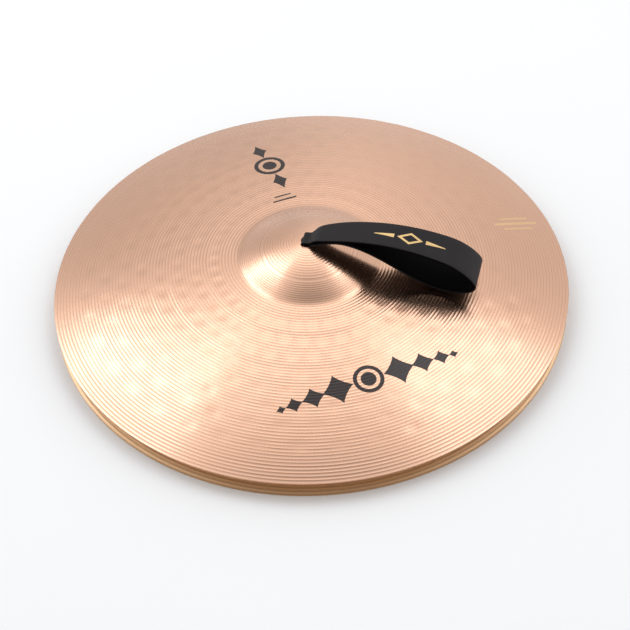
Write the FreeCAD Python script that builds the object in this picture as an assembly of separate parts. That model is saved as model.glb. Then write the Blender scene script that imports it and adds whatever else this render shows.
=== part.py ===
import FreeCAD, Part
import math
import os

# A pair of hand cymbals, stacked as they are laid down: the upper cymbal sits dome up over
# the lower one. Each has a leather hand strap whose four tails go down through the hole in
# the bell and are tied flat underneath. Millimetres, +Z up. The origin is on the floor, at
# the middle of the lower cymbal's rim, and the upper strap lies along +X.

# The bronze plate
RIM_R = 203.2            # radius of the rim
PLATE_T = 1.2            # thickness of the plate
BOW_H = 25.1             # height that the bow alone would reach on the axis
BOW_POWER = 2.46         # how the bow curves: nearly flat at the bell, steep at the rim
BELL_H = 39.7            # height of the bell's top above the rim
BELL_CURVE_R = 96.0      # radius of the bell's dome at its top
BELL_BLEND = 0.75        # softness of the corner between bell and bow
HOLE_R = 6.0             # radius of the hole in the bell
RIM_LAND = 0.6           # width of the flat that the rim rests on

# How the pair is stacked
LOWER_RIM_Z = 1.25       # the lower rim's top edge above the floor
NEST_STEP = 13.4         # height of the upper cymbal over the lower one
UPPER_RIM_Z = LOWER_RIM_Z + NEST_STEP

# The leather
COVER_T = 1.1            # outer layer of the strap
LINING_T = 1.0           # inner layer of the strap
BAND_T = COVER_T + LINING_T
TAIL_T = 1.7             # thickness of a tail in the hole
TAIL_W = 4.9             # width of a tail in the hole
TAIL_GAP = 0.1           # gap between neighbouring tails
KNOT_T = 1.8             # thickness of a thong in the knot
KNOT_W = 9.0             # width of a thong in the knot
KNOT_L = 24.0            # length of a thong in the knot
WASHER_R = 18.0
WASHER_T = 1.5
FOLD_R = 2.0             # radius of the fold where the strap bends over the hole
BODY_GAP = 0.3           # gap between pieces that move past each other

# The strap in plan: a narrow neck at the hole, a rounded shoulder and a slow taper beyond it
NECK_W = 11.0            # full width of the neck
SHOULDER_X = 5.0         # where the shoulder begins
SHOULDER_W = 9.6         # what the shoulder adds to the width
SHOULDER_RUN = 5.5       # how far the shoulder takes to round off
TAPER = 0.08             # width gained per millimetre beyond the shoulder
PLAN_STATIONS = [0, 5, 9, 15, 25, 40, 100, 140]

# The upper strap's open loop, seen from the side: X, and Z above the rim. An arc runs out along
# the top, a rounded nose turns it, and half a wave comes back underneath.
UPPER_FOLD_RISE = 3.8
CREST = (62.0, 58.4)     # highest point of the top run
TOP_ARC_R = 160.0
TOP_STATIONS = [6, 15, 25, 40, 62, 85, 100, 112]
BROW = [(122, 45), (130, 38)]
NOSE = (116.0, 31.0)     # middle of the nose, whose lower half is a quarter of an ellipse
NOSE_REACH = 18.0
NOSE_DROP = 10.0
UNDER_CREST = (27.0, 50.4)
UNDER_TROUGH_X = 108.0
UNDER_STATIONS = [98, 85, 70, 55, 40, 25, 15, 7]
ROOT_RUN = 20.0          # from the lower run's crest to its root
ROOT_DROP = 6.2
ROOT_CURVE = 1.6
LOOP_CLOSED = 4          # points at each root where the two runs of the band still touch

# The lower strap lies flat between the two cymbals
LOWER_FOLD_RISE = 2.6
FLAT_REST = 0.5          # gap under the flat strap
FLAT_START_T = 4.2       # thickness of the flat loop at the fold
FLAT_END_T = 5.4         # and at its far end
FLAT_REACH = 140.0
FLAT_STATIONS = [5, 12, 20, 30, 40, 48, 56, 66, 80, 97, 114, 130]
FLAT_CLOSED = 5          # stations from the fold to where the flat loop opens


def vec(x, z):
    return FreeCAD.Vector(x, 0, z)


def plate_height(r):
    """Height of the plate's top face above the rim, at radius r."""
    bell = BELL_H - r * r / (2 * BELL_CURVE_R)
    bow = BOW_H * (1 - (r / RIM_R) ** BOW_POWER)
    half = (bell - bow) / 2
    return (bell + bow) / 2 + math.hypot(half, BELL_BLEND)


def plate_point(r, depth):
    """Point at the given depth under the plate's top face, square to it at radius r."""
    step = 0.01
    slope = (plate_height(r + step) - plate_height(r - step)) / (2 * step)
    length = math.hypot(1, slope)
    return vec(r + depth * slope / length, plate_height(r) - depth / length)


def smooth(points):
    """Edge of one smooth curve through the points."""
    curve = Part.BSplineCurve()
    curve.interpolate(points)
    return curve.toShape()


def ring(edges):
    """Solid made by turning a closed outline about the Z axis."""
    face = Part.Face(Part.Wire(edges))
    return face.revolve(FreeCAD.Vector(0, 0, 0), FreeCAD.Vector(0, 0, 1), 360)


def radii(start, end, count):
    return [start + (end - start) * i / (count - 1) for i in range(count)]


def cymbal(rim_z):
    """The plate: bell, bow and rim, with the hole and the flat that it rests on."""
    stations = radii(HOLE_R, 80, 20) + radii(92, RIM_R, 9)
    top = smooth([plate_point(r, 0) for r in stations])
    under_points = [plate_point(r, PLATE_T) for r in stations[:-1]]
    under_points[0].x = HOLE_R
    rim_foot = vec(RIM_R - RIM_LAND, -LOWER_RIM_Z)
    under = smooth(under_points + [rim_foot])
    rim_top = plate_point(RIM_R, 0)
    rim_base = vec(RIM_R, -LOWER_RIM_Z)
    edges = [top, Part.makeLine(rim_top, rim_base), Part.makeLine(rim_base, rim_foot), under,
             Part.makeLine(under_points[0], plate_point(HOLE_R, 0))]
    plate = ring(Part.__sortEdges__(edges))
    plate.translate(FreeCAD.Vector(0, 0, rim_z))
    return plate


def washer(rim_z):
    """Leather disc that lines the inside of the bell around the hole."""
    face_depth = PLATE_T + BODY_GAP
    back_depth = face_depth + WASHER_T
    stations = radii(HOLE_R, WASHER_R, 5)
    face = [plate_point(r, face_depth) for r in stations]
    back = [plate_point(r, back_depth) for r in stations]
    edges = [smooth(face), Part.makeLine(face[-1], back[-1]), smooth(back),
             Part.makeLine(back[0], face[0])]
    disc = ring(Part.__sortEdges__(edges))
    disc.translate(FreeCAD.Vector(0, 0, rim_z))
    return disc


def knot_top(rim_z):
    """Height of the knot's upper face, just clear of the dished washer."""
    reach = math.hypot(KNOT_L / 2, KNOT_W + TAIL_GAP)
    return rim_z + plate_height(reach) - PLATE_T - BODY_GAP - WASHER_T - 0.15


def thong(along_x, side, z_top):
    """One flat thong of the knot, with rounded corners."""
    across = side * (KNOT_W / 2 + TAIL_GAP)
    bar = Part.makeBox(KNOT_L, KNOT_W, KNOT_T, FreeCAD.Vector(-KNOT_L / 2, across - KNOT_W / 2, z_top - KNOT_T))
    upright = [e for e in bar.Edges if abs(e.BoundBox.ZLength - KNOT_T) < 0.01]
    bar = bar.makeFillet(2.0, upright)
    if not along_x:
        bar.rotate(FreeCAD.Vector(0, 0, 0), FreeCAD.Vector(0, 0, 1), 90)
    return bar


def knot(rim_z):
    """Two thongs one way and two across them, tied flat under the washer."""
    top = knot_top(rim_z)
    first = [thong(True, side, top) for side in (-1, 1)]
    second = [thong(False, side, top - KNOT_T - TAIL_GAP) for side in (-1, 1)]
    return Part.makeCompound(first + second)


def tails(rim_z, fold_rise):
    """Four tails side by side in the hole; above it their ends round into the fold."""
    fold_z = rim_z + BELL_H + fold_rise
    foot_z = knot_top(rim_z) + TAIL_GAP
    solids = []
    for side_x in (-1, 1):
        for side_y in (-1, 1):
            x0 = min(side_x * TAIL_GAP / 2, side_x * (TAIL_GAP / 2 + TAIL_T))
            y0 = min(side_y * TAIL_GAP / 2, side_y * (TAIL_GAP / 2 + TAIL_W))
            bar = Part.makeBox(TAIL_T, TAIL_W, fold_z - foot_z, FreeCAD.Vector(x0, y0, foot_z))
            fold = Part.makeCylinder(FOLD_R, TAIL_W, FreeCAD.Vector(0, y0, fold_z), FreeCAD.Vector(0, 1, 0))
            half = Part.makeBox(FOLD_R, TAIL_W, 2 * FOLD_R, FreeCAD.Vector(TAIL_GAP / 2, y0, fold_z - FOLD_R))
            if side_x < 0:
                half.translate(FreeCAD.Vector(-FOLD_R - TAIL_GAP, 0, 0))
            solids.append(bar.fuse(fold.common(half)).removeSplitter())
    return Part.makeCompound(solids)


def offset_points(points, distance):
    """Points moved sideways, to the right of the way that the line runs."""
    moved = []
    last = len(points) - 1
    for i, point in enumerate(points):
        ahead = points[min(i + 1, last)]
        behind = points[max(i - 1, 0)]
        way = (ahead - behind).normalize()
        moved.append(FreeCAD.Vector(point.x + way.z * distance, 0, point.z - way.x * distance))
    return moved


def strap_width(x):
    """Full width of the strap at a distance from the hole."""
    past = max(x - SHOULDER_X, 0)
    return NECK_W + SHOULDER_W * (1 - math.exp(-past / SHOULDER_RUN)) + TAPER * past


def top_run(x):
    """Height of the loop's top run, which is one arc."""
    return CREST[1] - TOP_ARC_R + math.sqrt(TOP_ARC_R ** 2 - (x - CREST[0]) ** 2)


def under_run(x):
    """Height of the loop's lower run: half a wave, then the drop to the root."""
    if x < UNDER_CREST[0]:
        return UNDER_CREST[1] - ROOT_DROP * ((UNDER_CREST[0] - x) / ROOT_RUN) ** ROOT_CURVE
    share = (x - UNDER_CREST[0]) / (UNDER_TROUGH_X - UNDER_CREST[0])
    low = NOSE[1] - NOSE_DROP
    return low + (UNDER_CREST[1] - low) * (1 + math.cos(math.pi * share)) / 2


def loop_line():
    """Side view of the open loop, from the fold round to the fold."""
    top = [vec(x, top_run(x)) for x in TOP_STATIONS]
    brow = [vec(x, z) for x, z in BROW]
    turns = [math.radians(degrees) for degrees in (0, 30, 60, 90)]
    nose = [vec(NOSE[0] + NOSE_REACH * math.cos(t), NOSE[1] - NOSE_DROP * math.sin(t)) for t in turns]
    under = [vec(x, under_run(x)) for x in UNDER_STATIONS]
    return top + brow + nose + under


def slab(edges):
    """Strap-wide solid whose side view is the closed outline."""
    width = strap_width(PLAN_STATIONS[-1]) + 4
    block = Part.Face(Part.Wire(edges)).extrude(FreeCAD.Vector(0, width, 0))
    block.translate(FreeCAD.Vector(0, -width / 2, 0))
    return block


def strap_plan(z_low, z_high):
    """Upright block with the strap's outline in plan, narrow at the hole."""
    near = [FreeCAD.Vector(x, -strap_width(x) / 2, z_low) for x in PLAN_STATIONS]
    far = [FreeCAD.Vector(x, strap_width(x) / 2, z_low) for x in reversed(PLAN_STATIONS)]
    start = [FreeCAD.Vector(-1, -NECK_W / 2, z_low)]
    finish = [FreeCAD.Vector(-1, NECK_W / 2, z_low)]
    wire = Part.makePolygon(start + near + far + finish + start)
    return Part.Face(wire).extrude(FreeCAD.Vector(0, 0, z_high - z_low))


def strap(whole, core, hollow, rim_z, fold_rise):
    """Cover and lining of one loop. Both end at the fold over the hole."""
    fold_z = BELL_H + fold_rise
    plan = strap_plan(0, 2 * BELL_H)
    width = strap_width(PLAN_STATIONS[-1]) + 4
    fold = Part.makeCylinder(FOLD_R + BODY_GAP, width, FreeCAD.Vector(0, -width / 2, fold_z),
                             FreeCAD.Vector(0, 1, 0))
    neck_x = TAIL_T + TAIL_GAP / 2 + 2 * BODY_GAP
    neck = Part.makeBox(20, width, fold_z, FreeCAD.Vector(neck_x - 20, -width / 2, 0))
    layers = []
    for layer in (whole.cut(core), core.cut(hollow)):
        piece = layer.common(plan).cut(fold).cut(neck).removeSplitter()
        piece.translate(FreeCAD.Vector(0, 0, rim_z))
        layers.append(max(piece.Solids, key=lambda solid: solid.Volume))
    return layers


def open_loop():
    """The upper strap, which stands open: its whole, what the cover holds, and its hollow."""
    fold = vec(0, BELL_H + UPPER_FOLD_RISE)
    start = fold + vec(-1.0, BAND_T * 0.9)
    end = fold + vec(1.0, -BAND_T * 0.9)
    outline = [start] + loop_line() + [end]
    core = offset_points(outline, COVER_T)
    inner = offset_points(outline, BAND_T)[LOOP_CLOSED:-LOOP_CLOSED]
    hollow = Part.BSplineCurve()
    hollow.interpolate(Points=inner, PeriodicFlag=True)
    return (slab([smooth(outline), Part.makeLine(outline[-1], outline[0])]),
            slab([smooth(core), Part.makeLine(core[-1], core[0])]),
            slab([hollow.toShape()]))


def flat_outline(inset, closed):
    """Outline of the lower strap, set in by a layer, from the fold or from where it opens."""
    tip_r = FLAT_REACH - FLAT_END_T / 2
    top = []
    under = []
    for r in FLAT_STATIONS[closed:] + [tip_r]:
        run = (r - FLAT_STATIONS[0]) / (tip_r - FLAT_STATIONS[0])
        thick = FLAT_START_T + (FLAT_END_T - FLAT_START_T) * run
        top.append(plate_point(r, inset - FLAT_REST - thick))
        under.append(plate_point(r, -FLAT_REST - inset))
    tip = plate_point(tip_r + FLAT_END_T / 2 - inset, -FLAT_REST - FLAT_END_T / 2)
    if not closed:
        fold = vec(0, BELL_H + LOWER_FOLD_RISE)
        top.insert(0, fold + vec(0, BAND_T - inset))
        under.insert(0, fold - vec(0, BAND_T - inset))
    turn = Part.Arc(top[-1], tip, under[-1]).toShape()
    return [smooth(top), turn, smooth(under[::-1]), Part.makeLine(under[0], top[0])]


def flat_loop():
    """The lower strap, which follows the plate under it: whole, core and hollow."""
    return (slab(flat_outline(0, 0)), slab(flat_outline(COVER_T, 0)),
            slab(flat_outline(BAND_T, FLAT_CLOSED)))


def save(name, shape):
    shape.exportStep("parts/" + name + ".step")
    print(name, "valid", shape.isValid(), "solids", len(shape.Solids), "volume", round(shape.Volume, 1))


def build():
    os.makedirs("parts", exist_ok=True)
    pairs = [("upper", UPPER_RIM_Z, UPPER_FOLD_RISE, open_loop()),
             ("lower", LOWER_RIM_Z, LOWER_FOLD_RISE, flat_loop())]
    for name, rim_z, fold_rise, loop in pairs:
        whole, core, hollow = loop
        cover, lining = strap(whole, core, hollow, rim_z, fold_rise)
        save(name + "_cymbal", cymbal(rim_z))
        save(name + "_washer", washer(rim_z))
        save(name + "_knot", knot(rim_z))
        save(name + "_tails", tails(rim_z, fold_rise))
        save(name + "_strap_cover", cover)
        save(name + "_strap_lining", lining)


build()
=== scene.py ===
import math
import random
import bpy
import numpy as np
from mathutils import Matrix, Vector


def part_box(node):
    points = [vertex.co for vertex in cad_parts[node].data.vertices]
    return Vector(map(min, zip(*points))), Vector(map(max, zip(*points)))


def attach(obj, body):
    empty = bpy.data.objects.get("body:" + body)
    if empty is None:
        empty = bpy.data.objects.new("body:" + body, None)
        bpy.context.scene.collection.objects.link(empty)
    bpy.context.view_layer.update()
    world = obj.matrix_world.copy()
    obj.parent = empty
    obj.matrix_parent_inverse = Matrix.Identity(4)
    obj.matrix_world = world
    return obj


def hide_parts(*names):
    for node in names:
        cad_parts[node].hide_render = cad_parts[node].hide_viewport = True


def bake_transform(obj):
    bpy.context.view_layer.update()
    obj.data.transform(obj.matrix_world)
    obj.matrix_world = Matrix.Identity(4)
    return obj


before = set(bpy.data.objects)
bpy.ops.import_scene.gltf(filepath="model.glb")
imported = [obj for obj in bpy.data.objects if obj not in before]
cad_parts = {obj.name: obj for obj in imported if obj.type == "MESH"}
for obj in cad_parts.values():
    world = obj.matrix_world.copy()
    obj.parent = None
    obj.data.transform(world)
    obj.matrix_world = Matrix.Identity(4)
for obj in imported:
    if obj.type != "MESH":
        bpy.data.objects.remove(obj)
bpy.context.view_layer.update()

MM = 0.001

# The plate, as in the CAD model, in millimetres
RIM_R = 203.2
PLATE_T = 1.2
BOW_H = 25.1
BOW_POWER = 2.46
BELL_H = 39.7
BELL_CURVE_R = 96.0
BELL_BLEND = 0.75
BELL_EDGE_R = 56.0
HOLE_R = 6.0
LOWER_RIM_Z = 1.25
NEST_STEP = 13.4
UPPER_RIM_Z = LOWER_RIM_Z + NEST_STEP

# The lathe's grooves: outer radius of each zone, pitch and depth of its grooves
LATHE_ZONES = [(13.0, 1.75, 0.030), (35.0, 2.2, 0.065), (38.6, 3.6, 0.090), (BELL_EDGE_R, 1.6, 0.045),
               (RIM_R, 2.5, 0.125)]
RINGS_PER_GROOVE = 4
SEGMENTS = 280

# The turned rim, and the rings of the underside beyond the bell's edge and inside it
RIM_CHAMFER = 0.15
RIM_FLAT = 0.6
UNDER_BOW = (RIM_R - 8, 70, 6)
UNDER_BELL = (60, HOLE_R, 6)

# The hammer marks: staggered rows of shallow round dents
MARKS_PER_ROW = 40
FIRST_ROW_R = 75.0
ROW_STEP = 14.45
LAST_ROW_R = 177.0
MARK_SIZE = 7.2
MARK_DEPTH = 0.18
MARK_TURN = 268.0
MARK_DRIFT = 0.5
MARK_STRENGTH = (0.6, 1.25)
MARK_SQUEEZE = 1.08
MARK_REACH = MARK_SIZE + 1.5

# The straps. Each layer stops a little short of the face where the two layers meet.
COVER_T = 1.1
LAYER_INSET = 0.02
LINING_ROOT_T = 0.9
OPEN_LINING_T = 1.7
FLAT_LINING_T = 0.96
LINING_TRIM = 0.35
LINING_SWELL_X = 10.0
LINING_SWELL_RUN = 30.0
BAND_STATIONS = 260
UPPER_FOLD_Z = BELL_H + 3.8
LOWER_FOLD_Z = BELL_H + 2.6
NECK_W = 12.7
SHOULDER_X = 1.5
SHOULDER_W = 7.2
SHOULDER_RUN = 8.0
TAPER = 0.085

# The open loop's outer face from the side. The neck is low and tight over the hole. An arc runs
# out along the top, a rounded nose turns it, and half a wave comes back underneath.
NECK = [(-5, 40), (-4, 42), (-1.5, 42.5), (1.2, 43), (4.5, 46), (7.5, 48.5)]
CREST = (62.0, 58.4)
TOP_ARC_R = 160.0
TOP_STATIONS = [12, 25, 40, 62, 85, 100, 112]
BROW = [(122, 45), (130, 38)]
NOSE = (116.0, 31.0)
NOSE_REACH = 17.8
NOSE_DROP = 9.8
UNDER_CREST = (28.0, 50.4)
UNDER_TROUGH_X = 114.0
UNDER_STATIONS = [104, 90, 75, 60, 45, 30, 20, 12]
ROOT_RUN = 20.0
ROOT_DROP = 7.0
ROOT_CURVE = 1.6
NECK_FOOT = [(5.5, 41.5), (3.3, 40)]

# The lower strap, which lies along the plate; the points are measured from its fold
FLAT_NECK = [(-3.2, -2.3), (-3.3, -0.6), (-2.4, 1.1), (0.0, 1.95)]
FLAT_NECK_FOOT = [(2.35, -1.75), (2.05, -2.4)]
FLAT_REST = 0.5
FLAT_START_T = 4.2
FLAT_END_T = 5.4
FLAT_REACH = 140.0
FLAT_STATIONS = [5, 12, 20, 30, 40, 48, 56, 66, 80, 97, 114, 130]

# One thong of the tails, and how far it stands from the hole's middle
THONG_HALF_T = 0.84
THONG_HALF_W = 2.42
THONG_X = 0.95
THONG_Y = 2.55
THONG_SPREAD = 0.5
THONG_SPREAD_ACROSS = 0.4
THONG_WANDER = 0.12
THONG_WAVE = 7
THONG_CORNERS = (0.55, 0.35)
THONG_STATIONS = 14
THONG_SIDES = 12
THONG_HEAD_RISE = 1.6

# The camera, about the middle of the upper rim
CAMERA_AZIMUTH = math.radians(16.0)
CAMERA_ELEVATION = math.radians(46.65)
CAMERA_ROLL = math.radians(-2.72)
CAMERA_DISTANCE = 1.1
CAMERA_PAN = (-0.00365, 0.03055)
CAMERA_LENS = 78.98

# Bronze colours: between the grooves, in them, and on the undersides. Cusps are darker as painted shade; the
# lower plate's pair is lighter and warmer, painted light for the gap under the upper plate; the undersides'
# colour is painted light bounced into that gap.
ROSE_LIGHT = (0.74, 0.455, 0.325, 1)
ROSE_CUSP_PAINTED_SHADE = (0.58, 0.315, 0.19, 1)
# The lower plate's colours, lighter and warmer than the upper's: painted light for the gap under the upper
# plate, with darker cusps as painted shade
LOWER_PAINTED_BRIGHT = (0.99, 0.70, 0.42, 1)
LOWER_CUSP_PAINTED_SHADE = (0.50, 0.30, 0.16, 1)
# The undersides' colour, lighter and warmer than the top: painted light bounced into the gap between the
# plates
UNDER_PAINTED_BRIGHT = (0.97, 0.68, 0.40, 1)
UNDER_ROUGH = 0.60
UNDER_METAL = 0.30

# Prints: colours, finishes, and half the width of their soft edges in metres
INK = (0.020, 0.011, 0.009, 1)
FOIL = (0.86, 0.60, 0.26, 1)
STRAP_FOIL = (0.70, 0.48, 0.22, 1)
FOIL_STRENGTH = 0.55
INK_ROUGH = 0.42
INK_METAL = 0.25
STRAP_FOIL_ROUGH = 0.30
STRAP_FOIL_METAL = 0.9
SOFT_EDGE = 0.00025
FOIL_EDGE = 0.00015

# The strap's ornament, in metres along and across the strap
ORNAMENT_ALONG = 0.0895
DIAMOND_OUTER = 0.0062
DIAMOND_INNER = 0.0040
DIAMOND_SLANT = 0.62
TAPER_ENDS = (0.012, 0.028)
TAPER_HALF_W = (0.0020, 0.0003)
LINE_START = (0.0122, 0.0125)
LINE_END = (0.0275, 0.0280)

# Studio: azimuths count to the left of straight ahead, in degrees
WORLD_FRONT = 0.80
WORLD_BACK = 1.18
WORLD_TURN = (0.06, -0.32)
WORLD_PATCHES = [  # azimuth, elevation, cosines of the inner and outer edge, strength
    (21.0, 21.0, 0.985, 0.90, 0.66),
    (-36.0, 28.0, 0.985, 0.86, 0.74),
    (-6.0, 2.0, 0.985, 0.92, 0.74),
    (180.0, 50.0, 0.92, 0.60, 0.40),
    (95.0, 32.0, 0.90, 0.60, 1.12),
    (-95.0, 32.0, 0.90, 0.60, 1.12)]
COOL_WHITE = (0.86, 0.92, 1.0)
SOFT_BOXES = [  # name, azimuth, elevation, distance, width, height, radiance, tint
    ("left_box", 54.0, 51.0, 1.6, 0.44, 0.85, 2.6, COOL_WHITE),
    ("right_box", -54.0, 58.0, 1.6, 0.40, 0.70, 2.3, COOL_WHITE),
    ("top_box", 0.0, 60.0, 1.7, 0.80, 0.50, 1.15, (1.0, 1.0, 1.0))]
FLOOR_REACH = 40.0


# ---------- shape helpers ----------

def plate_height(r):
    """Height of the plate's top face above the rim, at radius r, in millimetres."""
    bell = BELL_H - r * r / (2 * BELL_CURVE_R)
    bow = BOW_H * (1 - (np.maximum(r, 0) / RIM_R) ** BOW_POWER)
    half = (bell - bow) / 2
    return (bell + bow) / 2 + np.hypot(half, BELL_BLEND)


def plate_point(r, depth):
    """Radius and height of the point at that depth under the top face, square to it."""
    step = 0.01
    slope = (plate_height(r + step) - plate_height(r - step)) / (2 * step)
    length = math.hypot(1, slope)
    return (r + depth * slope / length, float(plate_height(r)) - depth / length)


def smooth_through(points, count):
    """Evenly spaced points on one smooth curve through the given points (natural cubic)."""
    p = np.array(points, float)
    t = np.concatenate([[0], np.cumsum(np.sqrt(np.linalg.norm(np.diff(p, axis=0), axis=1)))])
    n = len(p)
    h = np.diff(t)
    a = np.zeros((n, n))
    b = np.zeros((n, p.shape[1]))
    a[0, 0] = a[-1, -1] = 1
    for i in range(1, n - 1):
        a[i, i - 1:i + 2] = (h[i - 1], 2 * (h[i - 1] + h[i]), h[i])
        b[i] = 6 * ((p[i + 1] - p[i]) / h[i] - (p[i] - p[i - 1]) / h[i - 1])
    m = np.linalg.solve(a, b)

    def at(s):
        i = np.clip(np.searchsorted(t, s) - 1, 0, n - 2)
        u = (s - t[i])[:, None]
        w = (t[i + 1] - s)[:, None]
        g = h[i][:, None]
        return ((m[i] * w ** 3 + m[i + 1] * u ** 3) / (6 * g)
                + (p[i] / g - m[i] * g / 6) * w + (p[i + 1] / g - m[i + 1] * g / 6) * u)

    fine = at(np.linspace(0, t[-1], 2400))
    run = np.concatenate([[0], np.cumsum(np.linalg.norm(np.diff(fine, axis=0), axis=1))])
    even = np.linspace(0, run[-1], count)
    return np.stack([np.interp(even, run, fine[:, k]) for k in range(p.shape[1])], 1)


def new_piece(name, verts, faces):
    """A smooth-shaded mesh object in the scene."""
    mesh = bpy.data.meshes.new(name)
    mesh.from_pydata([tuple(v) for v in verts], [], faces)
    mesh.polygons.foreach_set("use_smooth", [True] * len(mesh.polygons))
    mesh.update()
    piece = bpy.data.objects.new(name, mesh)
    bpy.context.scene.collection.objects.link(piece)
    return piece


# ---------- materials ----------

class Nodes:
    """Short way to build one material's node tree."""

    def __init__(self, name):
        self.material = bpy.data.materials.new(name)
        self.material.use_nodes = True
        self.tree = self.material.node_tree
        self.tree.nodes.clear()
        self.out = self.add("ShaderNodeOutputMaterial")
        self.shader = self.add("ShaderNodeBsdfPrincipled")
        self.link(self.shader.outputs[0], self.out.inputs[0])

    def add(self, kind, **values):
        node = self.tree.nodes.new(kind)
        for key, value in values.items():
            setattr(node, key, value)
        return node

    def link(self, source, target):
        self.tree.links.new(source, target)

    def feed(self, socket, value):
        if isinstance(value, bpy.types.NodeSocket):
            self.link(value, socket)
        else:
            socket.default_value = value

    def math(self, operation, a, b=0.0, c=0.0, clamp=False):
        node = self.add("ShaderNodeMath", operation=operation, use_clamp=clamp)
        for socket, value in zip(node.inputs, (a, b, c)):
            self.feed(socket, value)
        return node.outputs[0]

    def noise(self, scale, detail=2.0, rough=0.5, vector=None, dimensions="3D", w=None):
        node = self.add("ShaderNodeTexNoise", noise_dimensions=dimensions)
        node.inputs["Scale"].default_value = scale
        node.inputs["Detail"].default_value = detail
        node.inputs["Roughness"].default_value = rough
        if vector is not None:
            self.link(vector, node.inputs["Vector"])
        if w is not None:
            self.link(w, node.inputs["W"])
        return node.outputs[0]

    def span(self, value, low, high, to_low, to_high, smooth=False):
        node = self.add("ShaderNodeMapRange")
        node.interpolation_type = "SMOOTHSTEP" if smooth else "LINEAR"
        for key, item in (("Value", value), ("From Min", low), ("From Max", high),
                          ("To Min", to_low), ("To Max", to_high)):
            self.feed(node.inputs[key], item)
        return node.outputs[0]

    def mix(self, share, a, b):
        node = self.add("ShaderNodeMix", data_type="RGBA")
        self.feed(node.inputs["Factor"], share)
        self.feed(node.inputs["A"], a)
        self.feed(node.inputs["B"], b)
        return node.outputs["Result"]

    def place(self):
        return self.add("ShaderNodeTexCoord").outputs["Object"]

    def bump(self, height, strength, distance, normal=None):
        node = self.add("ShaderNodeBump")
        node.inputs["Strength"].default_value = strength
        node.inputs["Distance"].default_value = distance
        self.link(height, node.inputs["Height"])
        if normal is not None:
            self.link(normal, node.inputs["Normal"])
        return node.outputs[0]


def bronze(name, light, shade_colour, rough_low, rough_high, marks):
    """Lathed bronze: turning lines with cusps painted darker as shade, a slow drift of colour, a duller
    underside painted lighter as light bounced into the gap, and prints if asked for.
    """
    n = Nodes(name)
    place = n.place()
    xyz = n.add("ShaderNodeSeparateXYZ")
    n.link(place, xyz.inputs[0])
    x, y = xyz.outputs[0], xyz.outputs[1]
    radius = n.math("SQRT", n.math("ADD", n.math("MULTIPLY", x, x), n.math("MULTIPLY", y, y)))
    groove = n.add("ShaderNodeAttribute", attribute_name="lathe").outputs["Fac"]
    # The cusps between grooves are darker: painted shade for the lines the grooves draw
    cusp_shade = n.span(groove, 0.0, 0.7, 1.0, 0.0, True)
    fine = n.noise(900.0, 3.0, 0.6, dimensions="1D", w=radius)
    coarse = n.noise(120.0, 2.0, 0.5, dimensions="1D", w=radius)
    drift = n.noise(9.0, 3.0, 0.55, place)
    tone_and_cusp_shade = n.math("ADD", n.math("MULTIPLY", cusp_shade, 0.60), n.math("MULTIPLY", fine, 0.25))
    tone_and_cusp_shade = n.math("ADD", tone_and_cusp_shade, n.math("MULTIPLY", drift, 0.25), clamp=True)
    colour = n.mix(tone_and_cusp_shade, light, shade_colour)
    rough = n.span(n.math("ADD", n.math("MULTIPLY", fine, 0.5), n.math("MULTIPLY", drift, 0.5)),
                   0.3, 0.7, rough_low, rough_high)
    # Undersides: a lighter, warmer colour as painted light bounced into the gap between the plates, with a
    # rougher, less metallic finish
    under = n.add("ShaderNodeAttribute", attribute_name="under").outputs["Fac"]
    colour = n.mix(under, colour, UNDER_PAINTED_BRIGHT)
    rough = n.span(under, 0, 1, rough, UNDER_ROUGH)
    metal = n.span(under, 0, 1, 1.0, UNDER_METAL)
    if marks:
        foil = n.math("MULTIPLY", foil_marks(n, x, y), FOIL_STRENGTH)
        colour = n.mix(foil, colour, FOIL)
        ink = ink_marks(n, x, y)
        colour = n.mix(ink, colour, INK)
        rough = n.span(ink, 0, 1, rough, INK_ROUGH)
        metal = n.span(ink, 0, 1, metal, INK_METAL)
    n.feed(n.shader.inputs["Base Color"], colour)
    n.feed(n.shader.inputs["Roughness"], rough)
    n.feed(n.shader.inputs["Metallic"], metal)
    n.shader.inputs["Specular IOR Level"].default_value = 0.2
    n.shader.inputs["Coat Weight"].default_value = 0.5
    n.shader.inputs["Coat Roughness"].default_value = 0.16
    n.shader.inputs["Anisotropic"].default_value = 0.6
    n.shader.inputs["Anisotropic Rotation"].default_value = 0.25
    tangent = n.add("ShaderNodeTangent", direction_type="RADIAL", axis="Z")
    n.link(tangent.outputs[0], n.shader.inputs["Tangent"])
    height = n.math("ADD", fine, n.math("MULTIPLY", coarse, 0.6))
    n.link(n.bump(height, 0.25, 0.00003), n.shader.inputs["Normal"])
    return n.material


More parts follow.
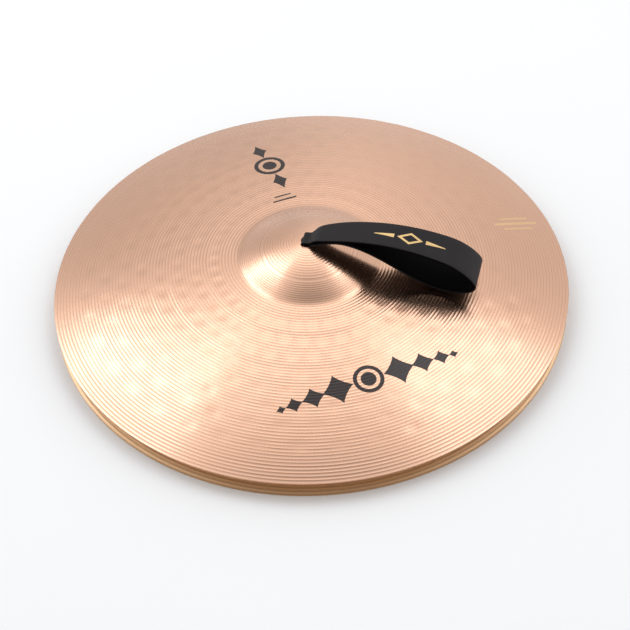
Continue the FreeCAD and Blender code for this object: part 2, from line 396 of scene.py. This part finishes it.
class Stencil:
    """Masks of plain shapes, about a point on the plate with its long axis along the rim."""

    def __init__(self, n, x, y, centre_r, centre_turn, spin=0.0):
        self.n = n
        turn = math.radians(centre_turn)
        face = math.radians(centre_turn + 90 + spin)
        dx = n.math("SUBTRACT", x, centre_r * math.cos(turn))
        dy = n.math("SUBTRACT", y, centre_r * math.sin(turn))
        self.along = n.math("ADD", n.math("MULTIPLY", dx, math.cos(face)),
                            n.math("MULTIPLY", dy, math.sin(face)))
        self.across = n.math("SUBTRACT", n.math("MULTIPLY", dy, math.cos(face)),
                             n.math("MULTIPLY", dx, math.sin(face)))

    def inside(self, distance, size):
        return self.n.span(distance, size - SOFT_EDGE, size + SOFT_EDGE, 1.0, 0.0, True)

    def disc(self, size):
        square = self.n.math("ADD", self.n.math("MULTIPLY", self.along, self.along),
                             self.n.math("MULTIPLY", self.across, self.across))
        return self.inside(self.n.math("SQRT", square), size)

    def ring(self, inner, outer):
        return self.n.math("SUBTRACT", self.disc(outer), self.disc(inner))

    def bar(self, half_length, half_width, at_along=0.0, at_across=0.0):
        a = self.n.math("ABSOLUTE", self.n.math("SUBTRACT", self.along, at_along))
        b = self.n.math("ABSOLUTE", self.n.math("SUBTRACT", self.across, at_across))
        return self.n.math("MULTIPLY", self.inside(a, half_length), self.inside(b, half_width))

    def lozenges(self, at, half_length, half_width, upright=False):
        """Two lozenges with hollow sides, at equal distances on both sides of the point."""
        main, side = (self.across, self.along) if upright else (self.along, self.across)
        a = self.n.math("SUBTRACT", self.n.math("ABSOLUTE", main), at)
        a = self.n.math("POWER", self.n.math("DIVIDE", self.n.math("ABSOLUTE", a), half_length), 0.8)
        b = self.n.math("POWER", self.n.math("DIVIDE", self.n.math("ABSOLUTE", side), half_width), 0.8)
        both = self.n.math("SUBTRACT", self.n.math("ADD", a, b), 1.0)
        return self.inside(self.n.math("MULTIPLY", both, half_width), 0.0)


def join(n, masks):
    whole = masks[0]
    for mask in masks[1:]:
        whole = n.math("MAXIMUM", whole, mask)
    return whole


def ink_marks(n, x, y):
    """Printed ornaments: a chain of lozenges at the front, and a ringed disc with two leaves."""
    front = Stencil(n, x, y, 0.1300, -56.6, 2.0)
    back = Stencil(n, x, y, 0.1203, 120.5, 6.0)
    lines = Stencil(n, x, y, 0.0725, 121.0, 4.0)
    return join(n, [front.disc(0.0058), front.ring(0.0085, 0.0115),
                    front.lozenges(0.0240, 0.0125, 0.0125), front.lozenges(0.0430, 0.0095, 0.0085),
                    front.lozenges(0.0580, 0.0070, 0.0060), front.lozenges(0.0680, 0.0040, 0.0032),
                    back.disc(0.0060), back.ring(0.0095, 0.0130),
                    back.lozenges(0.0245, 0.0115, 0.0065, upright=True),
                    lines.bar(0.0100, 0.0009, 0.0, 0.0028), lines.bar(0.0070, 0.0007, 0.0, -0.0028)])


def foil_marks(n, x, y):
    """Three short gold lines near the rim."""
    side = Stencil(n, x, y, 0.1735, 29.9, 90.0)
    return join(n, [side.bar(0.0180, 0.0013), side.bar(0.0120, 0.0009, 0.0, 0.0060),
                    side.bar(0.0120, 0.0009, 0.0, -0.0060)])


def strap_leather(name, gold):
    """Smooth black strap leather, with fine pores, darker edges and, if asked for, gold foil."""
    n = Nodes(name)
    place = n.place()
    pores = n.add("ShaderNodeTexVoronoi", feature="DISTANCE_TO_EDGE")
    pores.inputs["Scale"].default_value = 1500.0
    n.link(place, pores.inputs["Vector"])
    grain = n.noise(700.0, 4.0, 0.6, place)
    wear = n.noise(35.0, 3.0, 0.6, place)
    edge = n.add("ShaderNodeAttribute", attribute_name="edge").outputs["Fac"]
    colour = n.mix(n.math("MULTIPLY", wear, 0.8), (0.009, 0.0075, 0.008, 1), (0.022, 0.018, 0.020, 1))
    colour = n.mix(edge, colour, (0.003, 0.0025, 0.003, 1))
    rough = n.span(n.math("ADD", n.math("MULTIPLY", grain, 0.6), n.math("MULTIPLY", wear, 0.4)),
                   0.3, 0.7, 0.42, 0.56)
    if gold:
        along = n.add("ShaderNodeAttribute", attribute_name="along").outputs["Fac"]
        across = n.add("ShaderNodeAttribute", attribute_name="across").outputs["Fac"]
        foil = strap_ornament(n, along, across)
        colour = n.mix(foil, colour, STRAP_FOIL)
        rough = n.span(foil, 0, 1, rough, STRAP_FOIL_ROUGH)
        n.feed(n.shader.inputs["Metallic"], n.math("MULTIPLY", foil, STRAP_FOIL_METAL))
    n.feed(n.shader.inputs["Base Color"], colour)
    n.feed(n.shader.inputs["Roughness"], rough)
    n.shader.inputs["Specular IOR Level"].default_value = 0.16
    coarse = n.bump(grain, 0.25, 0.00012)
    n.link(n.bump(pores.outputs[0], 0.25, 0.00006, coarse), n.shader.inputs["Normal"])
    return n.material


def strap_ornament(n, along, across):
    """Foil mask on the strap: a plain diamond between two tapered lines."""
    reach = n.math("ABSOLUTE", n.math("SUBTRACT", along, ORNAMENT_ALONG))
    side = n.math("ABSOLUTE", across)
    slant = n.math("ADD", n.math("MULTIPLY", reach, DIAMOND_SLANT), side)
    diamond, hole = [n.span(slant, size - FOIL_EDGE, size + FOIL_EDGE, 1.0, 0.0, True)
                     for size in (DIAMOND_OUTER, DIAMOND_INNER)]
    diamond = n.math("MULTIPLY", diamond, n.math("SUBTRACT", 1.0, hole))
    taper = n.span(reach, *TAPER_ENDS, *TAPER_HALF_W)
    line = n.span(n.math("SUBTRACT", side, taper), -FOIL_EDGE, FOIL_EDGE, 1.0, 0.0, True)
    line = n.math("MULTIPLY", line, n.span(reach, *LINE_START, 0.0, 1.0))
    line = n.math("MULTIPLY", line, n.span(reach, *LINE_END, 1.0, 0.0))
    return n.math("MAXIMUM", diamond, line)


def strap_lining_cloth(name):
    """Dull black lining with a short nap."""
    n = Nodes(name)
    place = n.place()
    nap = n.noise(1400.0, 3.0, 0.7, place)
    drift = n.noise(60.0, 2.0, 0.5, place)
    share = n.math("ADD", n.math("MULTIPLY", nap, 0.5), n.math("MULTIPLY", drift, 0.5))
    colour = n.mix(share, (0.0010, 0.0008, 0.0009, 1), (0.0030, 0.0024, 0.0026, 1))
    n.feed(n.shader.inputs["Base Color"], colour)
    n.feed(n.shader.inputs["Roughness"], n.span(nap, 0.3, 0.7, 0.78, 0.92))
    n.shader.inputs["Specular IOR Level"].default_value = 0.05
    n.link(n.bump(nap, 0.4, 0.00015), n.shader.inputs["Normal"])
    return n.material


def raw_leather(name):
    """Dark raw leather of the washers."""
    n = Nodes(name)
    place = n.place()
    grain = n.noise(500.0, 4.0, 0.65, place)
    stain = n.noise(60.0, 3.0, 0.6, place)
    n.feed(n.shader.inputs["Base Color"], n.mix(stain, (0.035, 0.020, 0.012, 1), (0.11, 0.062, 0.035, 1)))
    n.feed(n.shader.inputs["Roughness"], n.span(grain, 0.3, 0.7, 0.6, 0.8))
    n.link(n.bump(grain, 0.5, 0.0002), n.shader.inputs["Normal"])
    return n.material


# ---------- the plates ----------

def groove_rings():
    """Radius, groove depth and share of depth for every ring of the top face."""
    rings = []
    r = HOLE_R
    for outer, pitch, depth in LATHE_ZONES:
        count = max(1, round((outer - r) / pitch))
        step = (outer - r) / count
        for _ in range(count):
            own = depth * random.uniform(0.8, 1.2)
            for k in range(RINGS_PER_GROOVE):
                u = 2 * k / RINGS_PER_GROOVE - 1
                share = 1 - u * u
                rings.append((r + step * k / RINGS_PER_GROOVE, own * share, share))
            r += step
    rings.append((RIM_R, 0.0, 0.0))
    return np.array(rings)


def hammer_marks(r, turn, rows):
    """Depth of the hammer marks at radius r and at the given turns, and where the lathe missed."""
    depth = np.zeros_like(turn)
    missed = np.zeros_like(turn)
    for row_r, phase, jitter in rows:
        if abs(r - row_r) > MARK_REACH:
            continue
        pitch = 2 * math.pi / MARKS_PER_ROW
        index = np.round((turn - phase) / pitch).astype(int) % MARKS_PER_ROW
        away = (turn - phase + math.pi / MARKS_PER_ROW) % pitch - math.pi / MARKS_PER_ROW
        across = r * away + jitter[index, 0]
        along = r - row_r + jitter[index, 1]
        share = np.clip(1 - (across ** 2 + (along * MARK_SQUEEZE) ** 2) / MARK_SIZE ** 2, 0, 1)
        depth += MARK_DEPTH * jitter[index, 2] * share ** 1.5
        missed = np.maximum(missed, np.clip(share * 4 - 1, 0, 1))
    return depth, missed


def mark_rows(rng):
    """Radius and turn of each row of hammer marks, and each mark's shift and strength."""
    rows = []
    row_r = FIRST_ROW_R
    while row_r <= LAST_ROW_R:
        phase = math.radians(MARK_TURN + (len(rows) % 2) * 180.0 / MARKS_PER_ROW)
        jitter = np.stack([rng.normal(0, MARK_DRIFT, MARKS_PER_ROW), rng.normal(0, MARK_DRIFT, MARKS_PER_ROW),
                           rng.uniform(*MARK_STRENGTH, MARKS_PER_ROW)], 1)
        rows.append((row_r, phase, jitter))
        row_r += ROW_STEP
    return rows


def plate(name, rim_z, seed):
    """The whole plate: grooved and hammered top, turned rim, plain underside and hole."""
    random.seed(seed)
    rng = np.random.RandomState(seed)
    rings = groove_rings()
    turn = np.arange(SEGMENTS) * 2 * math.pi / SEGMENTS
    rows = mark_rows(rng)
    verts = []
    lathe = []
    under_side = []
    for r, depth, share in rings:
        dent, missed = hammer_marks(r, turn, rows)
        z = float(plate_height(r)) - depth * (1 - 0.5 * missed) - dent
        verts.append(np.stack([r * np.cos(turn), r * np.sin(turn), z + rim_z], 1))
        lathe.append(np.full(SEGMENTS, share))
        under_side.append(np.zeros(SEGMENTS))
    rim_low = -LOWER_RIM_Z
    edge = [(RIM_R, -RIM_CHAMFER), (RIM_R, rim_low + RIM_CHAMFER),
            (RIM_R - RIM_CHAMFER, rim_low), (RIM_R - RIM_FLAT, rim_low)]
    under_r = np.concatenate([np.linspace(*UNDER_BOW), np.linspace(*UNDER_BELL)])
    under = [plate_point(r, PLATE_T) for r in under_r]
    under[-1] = (HOLE_R, under[-1][1])
    for r, z in edge + under:
        verts.append(np.stack([r * np.cos(turn), r * np.sin(turn), np.full(SEGMENTS, z + rim_z)], 1))
        lathe.append(np.zeros(SEGMENTS))
        under_side.append(np.full(SEGMENTS, float(r <= RIM_R - RIM_FLAT)))
    verts = np.concatenate(verts) * MM
    count = len(rings) + len(edge) + len(under)
    ring = np.arange(count)
    a = (ring[:, None] * SEGMENTS + np.arange(SEGMENTS)[None, :])
    b = (ring[:, None] * SEGMENTS + (np.arange(SEGMENTS)[None, :] + 1) % SEGMENTS)
    faces = np.stack([a, np.roll(a, -1, axis=0), np.roll(b, -1, axis=0), b], -1).reshape(-1, 4)
    mesh = bpy.data.meshes.new(name)
    mesh.vertices.add(len(verts))
    mesh.vertices.foreach_set("co", verts.ravel())
    mesh.loops.add(len(faces) * 4)
    mesh.loops.foreach_set("vertex_index", faces.ravel())
    mesh.polygons.add(len(faces))
    mesh.polygons.foreach_set("loop_start", np.arange(len(faces)) * 4)
    mesh.polygons.foreach_set("use_smooth", np.ones(len(faces), bool))
    mesh.update(calc_edges=True)
    sharp_rings = set(range(0, len(rings), RINGS_PER_GROOVE))
    sharp_rings |= {len(rings) - 1, len(rings), len(rings) + 1, len(rings) + 2, count - 1}
    edges = np.zeros(len(mesh.edges) * 2, int)
    mesh.edges.foreach_get("vertices", edges)
    edges = edges.reshape(-1, 2) // SEGMENTS
    sharp = (edges[:, 0] == edges[:, 1]) & np.isin(edges[:, 0], list(sharp_rings))
    mesh.attributes.new("sharp_edge", "BOOLEAN", "EDGE").data.foreach_set("value", sharp)
    # lathe: share of the groove's depth; the bronze material paints the cusps, where it is 0, darker as
    # painted shade
    mesh.attributes.new("lathe", "FLOAT", "POINT").data.foreach_set("value", np.concatenate(lathe))
    # under: 1 on the undersides, which the bronze material paints lighter and warmer as painted light bounced
    # into the gap
    mesh.attributes.new("under", "FLOAT", "POINT").data.foreach_set("value", np.concatenate(under_side))
    mesh.validate()
    piece = bpy.data.objects.new(name, mesh)
    bpy.context.scene.collection.objects.link(piece)
    return piece


# ---------- the straps ----------

def strap_width(x):
    """Full width: a narrow neck, a rounded shoulder and a slow taper beyond it."""
    past = np.maximum(x - SHOULDER_X, 0)
    return NECK_W + SHOULDER_W * (1 - np.exp(-past / SHOULDER_RUN)) + TAPER * past


def top_run(x):
    """Height of the loop's top run, which is one arc."""
    return CREST[1] - TOP_ARC_R + math.sqrt(TOP_ARC_R ** 2 - (x - CREST[0]) ** 2)


def under_run(x):
    """Height of the loop's lower run: half a wave, then the drop to the root."""
    if x < UNDER_CREST[0]:
        return UNDER_CREST[1] - ROOT_DROP * ((UNDER_CREST[0] - x) / ROOT_RUN) ** ROOT_CURVE
    share = (x - UNDER_CREST[0]) / (UNDER_TROUGH_X - UNDER_CREST[0])
    low = NOSE[1] - NOSE_DROP
    return low + (UNDER_CREST[1] - low) * (1 + math.cos(math.pi * share)) / 2


def open_line():
    """Outer face of the upper strap, seen from the side, from the hole round to the hole."""
    top = [(x, top_run(x)) for x in TOP_STATIONS]
    turns = [math.radians(degrees) for degrees in (0, 30, 60, 90)]
    nose = [(NOSE[0] + NOSE_REACH * math.cos(t), NOSE[1] - NOSE_DROP * math.sin(t)) for t in turns]
    under = [(x, under_run(x)) for x in UNDER_STATIONS]
    return NECK + top + BROW + nose + under + NECK_FOOT


def flat_line():
    """Outer face of the lower strap, which follows the plate under it."""
    tip_r = FLAT_REACH - FLAT_END_T / 2
    top = []
    under = []
    for r in FLAT_STATIONS + [tip_r]:
        run = (r - FLAT_STATIONS[0]) / (tip_r - FLAT_STATIONS[0])
        thick = FLAT_START_T + (FLAT_END_T - FLAT_START_T) * run
        top.append(plate_point(r, -FLAT_REST - thick))
        under.append(plate_point(r, -FLAT_REST))
    tip = plate_point(tip_r + FLAT_END_T / 2, -FLAT_REST - FLAT_END_T / 2)
    start = [(x, LOWER_FOLD_Z + rise) for x, rise in FLAT_NECK]
    finish = [(x, LOWER_FOLD_Z + rise) for x, rise in FLAT_NECK_FOOT]
    return start + top + [tip] + under[::-1] + finish


def edge_section(thick):
    """Cross section of a layer: share of the half width, inset from the side, drop from the outer face."""
    radius = thick * 0.45
    turns = [math.radians(d) for d in (90, 60, 30, 0)]
    corner = [(radius * (1 - math.sin(a)), radius * (1 - math.cos(a))) for a in turns]
    flat = [(-1 + 2 * k / 8, radius, 0.0) for k in range(1, 8)]
    top = [(-1, i, d) for i, d in corner] + flat + [(1, i, d) for i, d in corner[::-1]]
    under = [(side, inset, thick - drop) for side, inset, drop in top[::-1]]
    return top + under


def band(name, line, rim_z, depth, root_t, loop_t, trim):
    """One layer of a strap: a ribbon with rounded edges that follows the side view's line."""
    path = smooth_through(line, BAND_STATIONS)
    way = np.gradient(path, axis=0)
    way /= np.linalg.norm(way, axis=1)[:, None]
    inward = np.stack([way[:, 1], -way[:, 0]], 1)
    half = strap_width(path[:, 0]) / 2 - trim
    swell = np.clip((path[:, 0] - LINING_SWELL_X) / LINING_SWELL_RUN, 0, 1)
    thick = root_t + (loop_t - root_t) * swell * swell * (3 - 2 * swell)
    run = np.concatenate([[0], np.cumsum(np.linalg.norm(np.diff(path, axis=0), axis=1))])
    verts, edge, along, across = [], [], [], []
    for i in range(BAND_STATIONS):
        for side, inset, drop in edge_section(thick[i]):
            y = side * (half[i] - inset)
            x, z = path[i] + inward[i] * (depth + drop)
            verts.append((x * MM, y * MM, (z + rim_z) * MM))
            edge.append(float(abs(side) == 1 and inset < thick[i] * 0.2))
            along.append(run[i] * MM)
            across.append(y * MM)
    ring = len(verts) // BAND_STATIONS
    faces = [(i * ring + j, i * ring + (j + 1) % ring, (i + 1) * ring + (j + 1) % ring, (i + 1) * ring + j)
             for i in range(BAND_STATIONS - 1) for j in range(ring)]
    faces.append(tuple(reversed(range(ring))))
    faces.append(tuple((BAND_STATIONS - 1) * ring + j for j in range(ring)))
    piece = new_piece(name, verts, faces)
    for key, values in (("edge", edge), ("along", along), ("across", across)):
        piece.data.attributes.new(key, "FLOAT", "POINT").data.foreach_set("value", values)
    return piece


def thong_section():
    """Cross section of one thong: a flat strip with soft corners."""
    section = []
    for k in range(THONG_SIDES):
        turn = 2 * math.pi * k / THONG_SIDES
        x = math.copysign(abs(math.cos(turn)) ** THONG_CORNERS[0], math.cos(turn))
        y = math.copysign(abs(math.sin(turn)) ** THONG_CORNERS[1], math.sin(turn))
        section.append((x * THONG_HALF_T, y * THONG_HALF_W))
    return section


def tube_faces(base):
    """Faces round one thong and on its two ends, counted from its first vertex."""
    faces = []
    for i in range(THONG_STATIONS - 1):
        for k in range(THONG_SIDES):
            low, high = base + i * THONG_SIDES, base + (i + 1) * THONG_SIDES
            after = (k + 1) % THONG_SIDES
            faces.append((low + k, low + after, high + after, high + k))
    faces.append(tuple(base + k for k in reversed(range(THONG_SIDES))))
    faces.append(tuple(base + (THONG_STATIONS - 1) * THONG_SIDES + k for k in range(THONG_SIDES)))
    return faces


def thongs(name, foot_z, head_z):
    """Four flat thongs side by side in the hole, spreading a little towards their heads."""
    verts, faces = [], []
    for side_x in (-1, 1):
        for side_y in (-1, 1):
            base = len(verts)
            for i in range(THONG_STATIONS):
                share = i / (THONG_STATIONS - 1)
                spread = share * share * THONG_SPREAD
                wander = THONG_WANDER * math.sin(THONG_WAVE * share + side_x + side_y)
                x0 = side_x * (THONG_X + spread)
                y0 = side_y * (THONG_Y + spread * THONG_SPREAD_ACROSS) + wander
                z = foot_z + (head_z - foot_z) * share
                verts += [((x0 + x) * MM, (y0 + y) * MM, z * MM) for x, y in thong_section()]
            faces += tube_faces(base)
    return new_piece(name, verts, faces)


# ---------- the object ----------

upper_bronze = bronze("rose_bronze", ROSE_LIGHT, ROSE_CUSP_PAINTED_SHADE, 0.20, 0.27, True)
# The lower plate's bronze: a lighter, warmer copy of the upper's, painted light for the gap under the upper
# plate
lower_bronze_painted_bright = bronze("rose_bronze_plain_painted_bright", LOWER_PAINTED_BRIGHT, LOWER_CUSP_PAINTED_SHADE, 0.46, 0.54, False)
cover_leather = strap_leather("strap_leather_foil", True)
plain_leather = strap_leather("strap_leather_plain", False)
lining_cloth = strap_lining_cloth("strap_lining_nap")
washer_leather = raw_leather("washer_leather_raw")


def dress(piece, material):
    """Give a piece or a CAD node this one material."""
    piece.data.materials.clear()
    piece.data.materials.append(material)


def settle(piece, node, material):
    """Dress a piece, and let it stand for its CAD node."""
    dress(piece, material)
    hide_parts(node)


upper_plate = plate("upper_plate", UPPER_RIM_Z, 11)
settle(upper_plate, "upper_cymbal", upper_bronze)
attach(upper_plate, "upper")
lower_plate = plate("lower_plate", LOWER_RIM_Z, 23)
settle(lower_plate, "lower_cymbal", lower_bronze_painted_bright)
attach(lower_plate, "lower")

for side, rim_z, fold_z, lining_t, line in (("upper", UPPER_RIM_Z, UPPER_FOLD_Z, OPEN_LINING_T, open_line()),
                                            ("lower", LOWER_RIM_Z, LOWER_FOLD_Z, FLAT_LINING_T, flat_line())):
    cover = band(side + "_cover", line, rim_z, 0.0, COVER_T - LAYER_INSET, COVER_T - LAYER_INSET, 0.0)
    settle(cover, side + "_strap_cover", cover_leather)
    lining = band(side + "_lining", line, rim_z, COVER_T + LAYER_INSET, LINING_ROOT_T, lining_t, LINING_TRIM)
    settle(lining, side + "_strap_lining", lining_cloth)
    for piece in (cover, lining):
        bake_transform(piece)
    low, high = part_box(side + "_tails")
    tails = thongs(side + "_thongs", low[2] / MM, rim_z + BELL_H + THONG_HEAD_RISE)
    settle(tails, side + "_tails", plain_leather)
    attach(tails, side + "_neck")
    dress(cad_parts[side + "_knot"], plain_leather)
    dress(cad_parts[side + "_washer"], washer_leather)


# ---------- the studio ----------

def build_floor():
    n = Nodes("studio_floor")
    place = n.place()
    tint = n.noise(3.0, 2.0, 0.5, place)
    n.feed(n.shader.inputs["Base Color"], n.mix(tint, (0.92, 0.92, 0.92, 1), (0.94, 0.94, 0.94, 1)))
    n.shader.inputs["Roughness"].default_value = 0.9
    n.shader.inputs["Specular IOR Level"].default_value = 0.0
    corners = [(x * FLOOR_REACH, y * FLOOR_REACH, 0) for x, y in ((-1, -1), (1, -1), (1, 1), (-1, 1))]
    floor = new_piece("studio_floor", corners, [(0, 1, 2, 3)])
    dress(floor, n.material)


def from_camera_side(azimuth, elevation):
    """Direction at an azimuth counted to the left of straight ahead, and an elevation."""
    turn = math.radians(azimuth) + CAMERA_AZIMUTH
    lift = math.radians(elevation)
    return Vector((-math.cos(lift) * math.sin(turn), math.cos(lift) * math.cos(turn), math.sin(lift)))


def soft_box(name, azimuth, elevation, distance, width, height, radiance, tint):
    place = from_camera_side(azimuth, elevation) * distance
    lamp = bpy.data.lights.new(name, "AREA")
    lamp.shape = "RECTANGLE"
    lamp.size = width
    lamp.size_y = height
    lamp.color = tint
    lamp.energy = radiance * math.pi * width * height
    holder = bpy.data.objects.new(name, lamp)
    bpy.context.scene.collection.objects.link(holder)
    aim = (-place).to_track_quat("-Z", "Y").to_matrix().to_4x4()
    holder.matrix_world = Matrix.Translation(place) @ aim


def build_world():
    """A white tent: brighter behind the object than on the camera's side, with dim and bright patches."""
    world = bpy.data.worlds.new("studio")
    bpy.context.scene.world = world
    world.use_nodes = True
    tree = world.node_tree
    place = tree.nodes.new("ShaderNodeTexCoord")

    def lobe(direction, inner, outer, low, high):
        facing = tree.nodes.new("ShaderNodeVectorMath")
        facing.operation = "DOT_PRODUCT"
        facing.inputs[1].default_value = direction
        tree.links.new(place.outputs["Generated"], facing.inputs[0])
        ramp = tree.nodes.new("ShaderNodeMapRange")
        ramp.interpolation_type = "SMOOTHSTEP"
        for key, value in (("From Min", outer), ("From Max", inner), ("To Min", low), ("To Max", high)):
            ramp.inputs[key].default_value = value
        tree.links.new(facing.outputs["Value"], ramp.inputs["Value"])
        return ramp.outputs[0]

    level = lobe(from_camera_side(0.0, 0.0), *WORLD_TURN, WORLD_FRONT, WORLD_BACK)
    for azimuth, elevation, inner, outer, strength in WORLD_PATCHES:
        patch = lobe(from_camera_side(azimuth, elevation), inner, outer, 1.0, strength)
        both = tree.nodes.new("ShaderNodeMath")
        both.operation = "MULTIPLY"
        tree.links.new(level, both.inputs[0])
        tree.links.new(patch, both.inputs[1])
        level = both.outputs[0]
    tree.links.new(level, tree.nodes["Background"].inputs[1])
    tree.nodes["Background"].inputs[0].default_value = (1.0, 1.0, 1.0, 1)


def build_studio():
    build_world()
    for box in SOFT_BOXES:
        soft_box(*box)
    build_floor()
    view = bpy.context.scene.view_settings
    view.view_transform = "Standard"
    view.look = "None"


def build_camera():
    turn = Matrix.Rotation(CAMERA_AZIMUTH, 3, "Z")
    ahead = turn @ Vector((0, math.cos(CAMERA_ELEVATION), -math.sin(CAMERA_ELEVATION)))
    right = turn @ Vector((1, 0, 0))
    up = turn @ Vector((0, math.sin(CAMERA_ELEVATION), math.cos(CAMERA_ELEVATION)))
    across = right * math.cos(CAMERA_ROLL) + up * math.sin(CAMERA_ROLL)
    rise = up * math.cos(CAMERA_ROLL) - right * math.sin(CAMERA_ROLL)
    aim = Vector((0, 0, UPPER_RIM_Z * MM))
    place = aim - ahead * CAMERA_DISTANCE - across * CAMERA_PAN[0] - rise * CAMERA_PAN[1]
    data = bpy.data.cameras.new("camera")
    data.lens = CAMERA_LENS
    data.sensor_width = 36.0
    data.clip_start = 0.01
    camera = bpy.data.objects.new("camera", data)
    bpy.context.scene.collection.objects.link(camera)
    axes = Matrix((across, rise, -ahead)).transposed().to_4x4()
    camera.matrix_world = Matrix.Translation(place) @ axes
    bpy.context.scene.camera = camera


build_studio()
build_camera()
